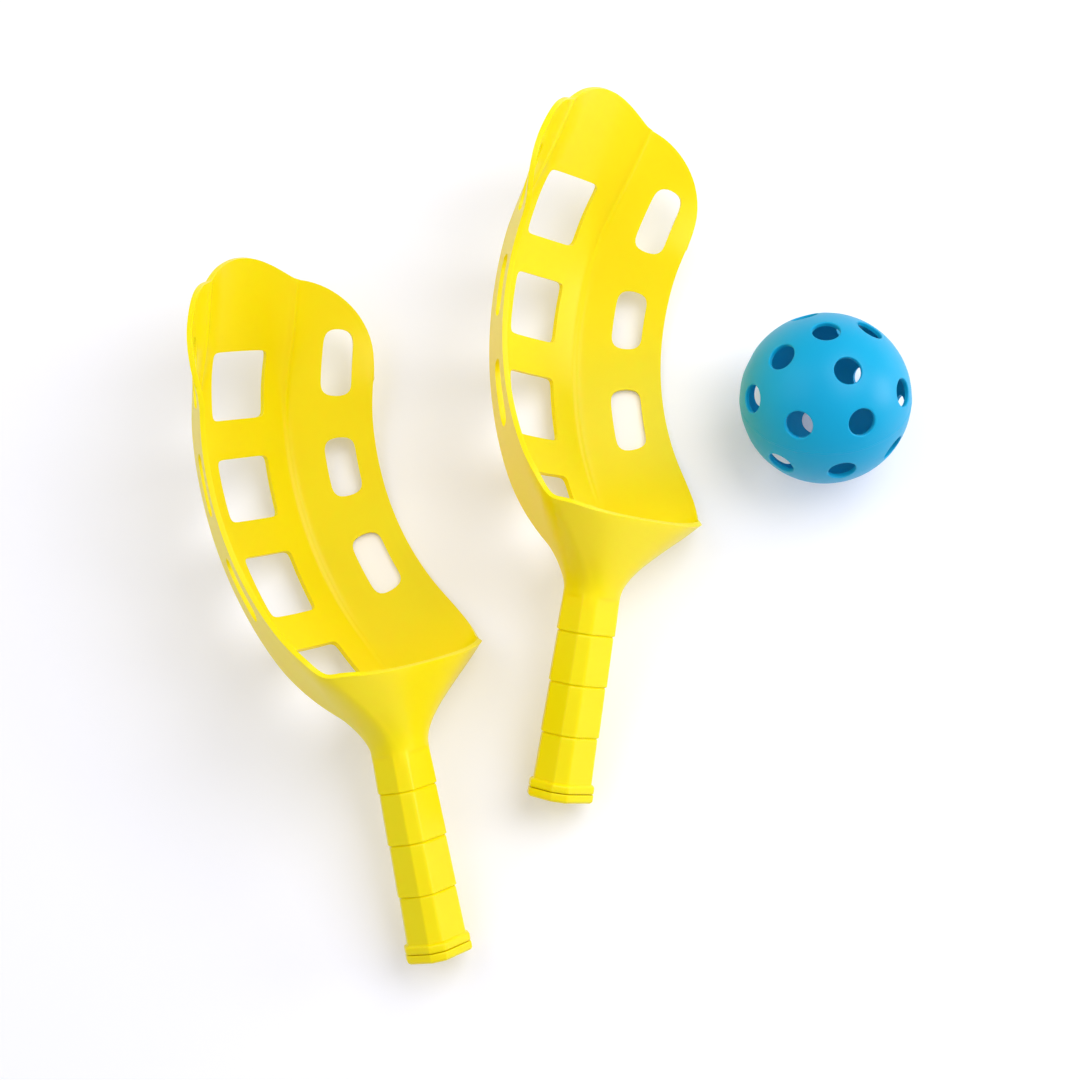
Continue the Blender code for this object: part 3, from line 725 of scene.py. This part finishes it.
def makeScoopPattern():
    obj, columns, lines, floor, mouthRow = basketSheet()
    s = scoop
    sheetPoints = {pointKey(v) for v in obj.data.vertices}
    applyModifier(obj, "SOLIDIFY", thickness=s["wall"] * mm, offset=1.0, use_even_offset=False,
                  use_rim=True, use_quality_normals=True)
    mesh = obj.data
    print("scoop wall:", len(mesh.vertices), "vertices")
    bpy.ops.object.mode_set(mode="EDIT")
    bpy.ops.mesh.select_all(action="DESELECT")
    bm = bmesh.from_edit_mesh(mesh)
    rowLayer = bm.verts.layers.int["row"]
    inside = {v for v in bm.verts if pointKey(v) in sheetPoints}
    raiseBeads(bm, columns, mouthRow, inside)
    # the outer floor comes off
    for face in bm.faces:
        if all(v not in inside and v[rowLayer] <= floor for v in face.verts):
            face.select_set(True)
    bmesh.update_edit_mesh(mesh)
    bpy.ops.mesh.delete(type="FACE")
    drawGrip(mesh, lines)
    bpy.ops.object.mode_set(mode="OBJECT")
    applyModifier(obj, "BEVEL", width=s["edgeRound"] * mm, segments=2, limit_method="ANGLE",
                  angle_limit=math.radians(s["edgeAngle"]), use_clamp_overlap=True,
                  miter_outer="MITER_ARC")
    applyModifier(obj, "SUBSURF", levels=1, render_levels=1)
    for name in ("column", "row"):
        obj.data.attributes.remove(obj.data.attributes[name])
    smoothByAngle(obj, s["creaseAngle"])
    return obj


scoopPlaces = {
    "mounts": {"left": "grip_end_left", "right": "grip_end_right"},
    "roll": 37.88,  # how far a scoop is turned on its side, in degrees
}


def scoopMatrix(mountName):
    # a scoop's own frame, from the mount at the end of its grip
    mount = [m for m in frame["record"]["mounts"] if m["name"] == mountName][0]
    along = -Vector(mount["axis"]).normalized()
    pitch = math.asin(along.z)
    yaw = math.atan2(-along.x, along.y)
    return (Matrix.Translation(Vector(mount["pos_m"])) @ Matrix.Rotation(yaw, 4, "Z")
            @ Matrix.Rotation(pitch - 0.5 * math.pi, 4, "X")
            @ Matrix.Rotation(-0.5 * math.pi - math.radians(scoopPlaces["roll"]), 4, "Z"))


def makeScoops(material):
    pattern = makeScoopPattern()
    print("scoop:", sum(len(p.vertices) - 2 for p in pattern.data.polygons), "triangles")
    for side, mountName in scoopPlaces["mounts"].items():
        copy = pattern.copy()
        copy.data = pattern.data.copy()
        copy.name = side + "Scoop"
        bpy.context.scene.collection.objects.link(copy)
        setInto(copy, scoopMatrix(mountName))
        finishPiece(copy, material, "yellow_polyethylene", "scoop_" + side)
    bpy.data.objects.remove(pattern, do_unlink=True)


plug = {"edgeRound": 0.35, "edgeAngle": 30, "creaseAngle": 35, "mergeDistance": 0.02}


def makePlugs(material):
    for side in scoopPlaces["mounts"]:
        node = frame["nodes"]["grip_plug_" + side]
        obj = node.copy()
        obj.data = node.data.copy()
        for key in list(obj.keys()):
            del obj[key]
        obj.parent = None
        obj.name = side + "GripPlug"
        bpy.context.scene.collection.objects.link(obj)
        selectOnly(obj)
        bpy.ops.object.mode_set(mode="EDIT")
        bpy.ops.mesh.select_all(action="SELECT")
        bpy.ops.mesh.remove_doubles(threshold=plug["mergeDistance"] * mm)
        bpy.ops.mesh.dissolve_limited(angle_limit=math.radians(1))
        bpy.ops.object.mode_set(mode="OBJECT")
        if "custom_normal" in obj.data.attributes:
            obj.data.attributes.remove(obj.data.attributes["custom_normal"])
        applyModifier(obj, "BEVEL", width=plug["edgeRound"] * mm, segments=3, limit_method="ANGLE",
                      angle_limit=math.radians(plug["edgeAngle"]))
        smoothByAngle(obj, plug["creaseAngle"])
        finishPiece(obj, material, "yellow_polyethylene", "grip_plug_" + side)


ball = {
    "radius": 36.5, "wall": 2.0, "hole": 11.7, "outerRound": 0.55, "innerRound": 0.3,
    "centre": (115.345, 53.25, 36.5), "pole": (-0.074, 0.558, 0.827), "spin": -75.4,
    "halfTurn": 76.0, "innerRing": (55.5, 4), "outerRing": (19.5, 8),
    "sphereSteps": 6, "holeSides": 56,
    "seamRidge": 0.11, "seamSpread": 0.42, "seamStep": 0.21, "seamSteps": 4,
    "cutterInside": 1.2, "cutterOutside": 1.4, "cutterTop": 4.0,
    "onSurface": 0.02,  # how near to a surface counts as on it, in millimetres
}


def holeProfile():
    # radius and height of the hole cutter, from inside the ball to outside, with both edges rounded
    b = ball
    r = 0.5 * b["hole"]
    inner = b["radius"] - b["wall"]
    # each arc stops short of the shell, and the cutter runs on straight from there
    roundIn = b["innerRound"]
    centre = Vector((r + roundIn, math.sqrt((inner + roundIn) ** 2 - (r + roundIn) ** 2)))
    end = math.atan2(-centre.y, -centre.x) % (2 * math.pi)
    angles = [end + (math.pi - end) * (0.15 + 0.85 * i / 4) for i in range(5)]
    arc = [centre + roundIn * Vector((math.cos(a), math.sin(a))) for a in angles]
    away = (arc[0] - arc[1]).normalized()
    points = [arc[0] + away * b["cutterInside"]] + arc
    roundOut = b["outerRound"]
    centre = Vector((r + roundOut, math.sqrt((b["radius"] - roundOut) ** 2 - (r + roundOut) ** 2)))
    end = math.atan2(centre.y, centre.x)
    angles = [math.pi + (end - math.pi) * 0.88 * i / 6 for i in range(7)]
    arc = [centre + roundOut * Vector((math.cos(a), math.sin(a))) for a in angles]
    away = (arc[-1] - arc[-2]).normalized()
    last = arc[-1] + away * b["cutterOutside"]
    return points + arc + [last, last + Vector((0.0, b["cutterTop"]))]  # past the top of the ball


def ballTurn(upper):
    pole = Vector(ball["pole"]).normalized()
    side = Vector((0, 0, 1)).cross(pole).normalized()
    basis = Matrix((side, pole.cross(side), pole)).transposed().to_4x4()
    return basis if upper else basis @ Matrix.Rotation(math.pi, 4, "X")


def holeTurns():
    b = ball
    turns = []
    for upper in (True, False):
        spin = b["spin"] if upper else -b["spin"] - b["halfTurn"]
        spots = [(90.0, 0.0)]
        for latitude, count in (b["innerRing"], b["outerRing"]):
            spots += [(latitude, spin + 360 * i / count) for i in range(count)]
        for latitude, longitude in spots:
            turns.append(ballTurn(upper) @ Matrix.Rotation(math.radians(longitude), 4, "Z")
                         @ Matrix.Rotation(math.radians(90 - latitude), 4, "Y"))
    return turns


def makeHoleCutters():
    profile = holeProfile()
    bpy.ops.object.select_all(action="DESELECT")
    bpy.ops.mesh.primitive_circle_add(vertices=ball["holeSides"], radius=profile[0].x * mm,
                                      fill_type="NGON", location=(0, 0, profile[0].y * mm))
    cutter = bpy.context.object
    selectOnly(cutter)
    bpy.ops.object.transform_apply(location=True)
    bpy.ops.object.mode_set(mode="EDIT")
    bpy.ops.mesh.select_all(action="SELECT")
    for a, b in zip(profile, profile[1:]):
        bpy.ops.mesh.extrude_region_move(TRANSFORM_OT_translate={"value": (0, 0, (b.y - a.y) * mm)})
        bpy.ops.transform.resize(value=(b.x / a.x, b.x / a.x, 1))
    bpy.ops.mesh.select_all(action="SELECT")
    bpy.ops.mesh.normals_make_consistent(inside=False)
    bpy.ops.object.mode_set(mode="OBJECT")
    copies = []
    for turn in holeTurns():
        copy = cutter.copy()
        copy.data = cutter.data.copy()
        bpy.context.scene.collection.objects.link(copy)
        setInto(copy, turn)
        copies.append(copy)
    bpy.data.objects.remove(cutter, do_unlink=True)
    bpy.ops.object.select_all(action="DESELECT")
    for copy in copies:
        copy.select_set(True)
    bpy.context.view_layer.objects.active = copies[0]
    bpy.ops.object.join()
    return bpy.context.object


def seamShape(height):
    # two fine ridges beside the weld line: how far out, and the slope there
    b = ball
    out = 0.0
    slope = 0.0
    for middle in (-b["seamSpread"], b["seamSpread"]):
        x = (height - middle) / b["seamSpread"]
        if abs(x) < 1:
            out += b["seamRidge"] * 0.5 * (1 + math.cos(math.pi * x))
            slope -= b["seamRidge"] * 0.5 * math.pi / b["seamSpread"] * math.sin(math.pi * x)
    return out, slope


def ballNormal(point, axes, pole):
    # the smooth surface's own direction: shell, hole wall or one of the rounded edges
    b = ball
    reach = point.length
    radial = point / reach
    axis = max(axes, key=lambda a: a.dot(radial))
    height = point.dot(axis)
    side = point - height * axis
    r = side.length
    half = 0.5 * b["hole"]
    for rounding, sign, shell in ((b["outerRound"], 1, b["radius"]),
                                  (b["innerRound"], -1, b["radius"] - b["wall"])):
        centreR = half + rounding
        centreReach = shell - sign * rounding
        centreH = math.sqrt(centreReach ** 2 - centreR ** 2)
        if r < centreR and sign * (height - centreH) > -1e-4:
            normal = side / max(r, tiny) * (r - centreR) + axis * (height - centreH)
            if normal.length > tiny:
                return normal.normalized()
    near = b["onSurface"]
    if r < half + near and b["radius"] - b["wall"] + near < reach < b["radius"] - near:
        return -side / max(r, tiny)
    if reach < b["radius"] - 0.5 * b["wall"]:
        return -radial
    above = point.dot(pole)
    if abs(above) < 2 * b["seamSpread"]:
        _, slope = seamShape(above)
        up = (pole - radial * pole.dot(radial)).normalized()
        return (radial - up * slope).normalized()
    return radial


def makeBall(material):
    b = ball
    bpy.ops.object.select_all(action="DESELECT")
    bpy.ops.mesh.primitive_ico_sphere_add(subdivisions=b["sphereSteps"], radius=b["radius"] * mm)
    obj = bpy.context.object
    obj.name = "perforatedBall"
    applyModifier(obj, "SOLIDIFY", thickness=b["wall"] * mm, offset=-1.0)
    pole = Vector(b["pole"]).normalized()
    selectOnly(obj)
    bpy.ops.object.mode_set(mode="EDIT")
    for k in range(-b["seamSteps"], b["seamSteps"] + 1):
        bpy.ops.mesh.select_all(action="SELECT")
        bpy.ops.mesh.bisect(plane_co=pole * k * b["seamStep"] * mm, plane_no=pole)
    bpy.ops.object.mode_set(mode="OBJECT")
    for v in obj.data.vertices:
        reach = v.co.length / mm
        outside = reach > b["radius"] - 0.5 * b["wall"]
        out, _ = seamShape(v.co.dot(pole) / mm)
        shell = b["radius"] + out if outside else b["radius"] - b["wall"]
        v.co = v.co.normalized() * shell * mm
    cutters = makeHoleCutters()
    applyModifier(obj, "BOOLEAN", operation="DIFFERENCE", object=cutters, solver="EXACT")
    bpy.data.objects.remove(cutters, do_unlink=True)
    axes = [(turn @ Vector((0, 0, 1))).normalized() for turn in holeTurns()]
    obj.data.shade_smooth()
    normals = [ballNormal(v.co / mm, axes, pole) for v in obj.data.vertices]
    setInto(obj, Matrix.Translation(Vector(b["centre"]) * mm))
    obj.data.normals_split_custom_set_from_vertices(normals)
    print("ball:", sum(len(p.vertices) - 2 for p in obj.data.polygons), "triangles")
    finishPiece(obj, material, "blue_polyethylene", "ball_upper_half", "ball_lower_half")


studio = {
    "floorSize": 8.0, "floorColour": "#f1f2fb", "floorLift": 0.14, "floorLiftColour": "#fdf8ff",
    "worldStrength": 0.54,
    # name, place, size and power
    "lights": (("keyLight", (0.55, 0.35, 1.1), 0.95, 8.0),
               ("fillLight", (-0.8, 0.25, 0.9), 1.0, 2.8),
               ("sideLight", (1.0, 0.1, 0.3), 0.4, 3.0)),
}


def makeFloor():
    bpy.ops.object.select_all(action="DESELECT")
    bpy.ops.mesh.primitive_plane_add(size=studio["floorSize"])
    floor = bpy.context.object
    floor.name = "tableTop"
    material = bpy.data.materials.new("whiteTable")
    material.use_nodes = True
    tree = material.node_tree
    tree.nodes.clear()
    matte = addNode(tree, "ShaderNodeBsdfDiffuse", {"Color": srgb(studio["floorColour"])})
    lift = addNode(tree, "ShaderNodeEmission", {"Color": srgb(studio["floorLiftColour"]),
                                                "Strength": studio["floorLift"]})
    both = addNode(tree, "ShaderNodeAddShader", None, {0: matte.outputs[0], 1: lift.outputs[0]})
    rays = addNode(tree, "ShaderNodeLightPath")
    seen = addNode(tree, "ShaderNodeMixShader", None, {0: rays.outputs["Is Camera Ray"],
                                                       1: matte.outputs[0], 2: both.outputs[0]})
    addNode(tree, "ShaderNodeOutputMaterial", None, {"Surface": seen.outputs[0]})
    floor.data.materials.append(material)


def makeLight(name, place, size, power):
    light = bpy.data.lights.new(name, "AREA")
    light.shape = "SQUARE"
    light.size = size
    light.energy = power
    obj = bpy.data.objects.new(name, light)
    obj.location = place
    obj.rotation_euler = (-Vector(place)).to_track_quat("-Z", "Y").to_euler()
    bpy.context.scene.collection.objects.link(obj)


def makeStudio():
    makeFloor()
    for light in studio["lights"]:
        makeLight(*light)
    world = bpy.data.worlds.new("softRoom")
    bpy.context.scene.world = world
    world.use_nodes = True
    tree = world.node_tree
    tree.nodes.clear()
    white = (1, 1, 1, 1)
    soft = addNode(tree, "ShaderNodeBackground", {"Color": white,
                                                  "Strength": studio["worldStrength"]})
    plain = addNode(tree, "ShaderNodeBackground", {"Color": white, "Strength": 1.0})
    rays = addNode(tree, "ShaderNodeLightPath")
    seen = addNode(tree, "ShaderNodeMixShader", None, {0: rays.outputs["Is Camera Ray"],
                                                       1: soft.outputs[0], 2: plain.outputs[0]})
    addNode(tree, "ShaderNodeOutputWorld", None, {"Surface": seen.outputs[0]})
    bpy.context.scene.view_settings.view_transform = "Standard"


view = {
    "target": (-6.955, -0.25, 0.0), "distance": 934.871, "lens": 70.964, "sensor": 36.0,
    "tiltX": -13.184, "tiltY": 0.432,
}


def makeCamera():
    v = view
    tiltX = math.radians(v["tiltX"])
    tiltY = math.radians(v["tiltY"])
    away = Vector((math.sin(tiltY), math.sin(tiltX) * math.cos(tiltY),
                   math.cos(tiltX) * math.cos(tiltY)))
    right = Vector((math.cos(tiltY), 0.0, -math.sin(tiltY)))
    right = (right - away * right.dot(away)).normalized()
    up = away.cross(right)
    camera = bpy.data.objects.new("camera", bpy.data.cameras.new("camera"))
    camera.data.lens = v["lens"]
    camera.data.sensor_width = v["sensor"]
    camera.matrix_world = (Matrix.Translation((Vector(v["target"]) + away * v["distance"]) * mm)
                           @ Matrix((right, up, away)).transposed().to_4x4())
    bpy.context.scene.collection.objects.link(camera)
    bpy.context.scene.camera = camera


makeCamera()
yellow = makePlastic("glossyMouldedPolyethylene", yellowPlastic)
blue = makePlastic("satinMouldedPolyethylene", bluePlastic)
print("materials done")
makeScoops(yellow)
print("scoops done")
makePlugs(yellow)
print("plugs done")
makeBall(blue)
print("ball done")
makeStudio()
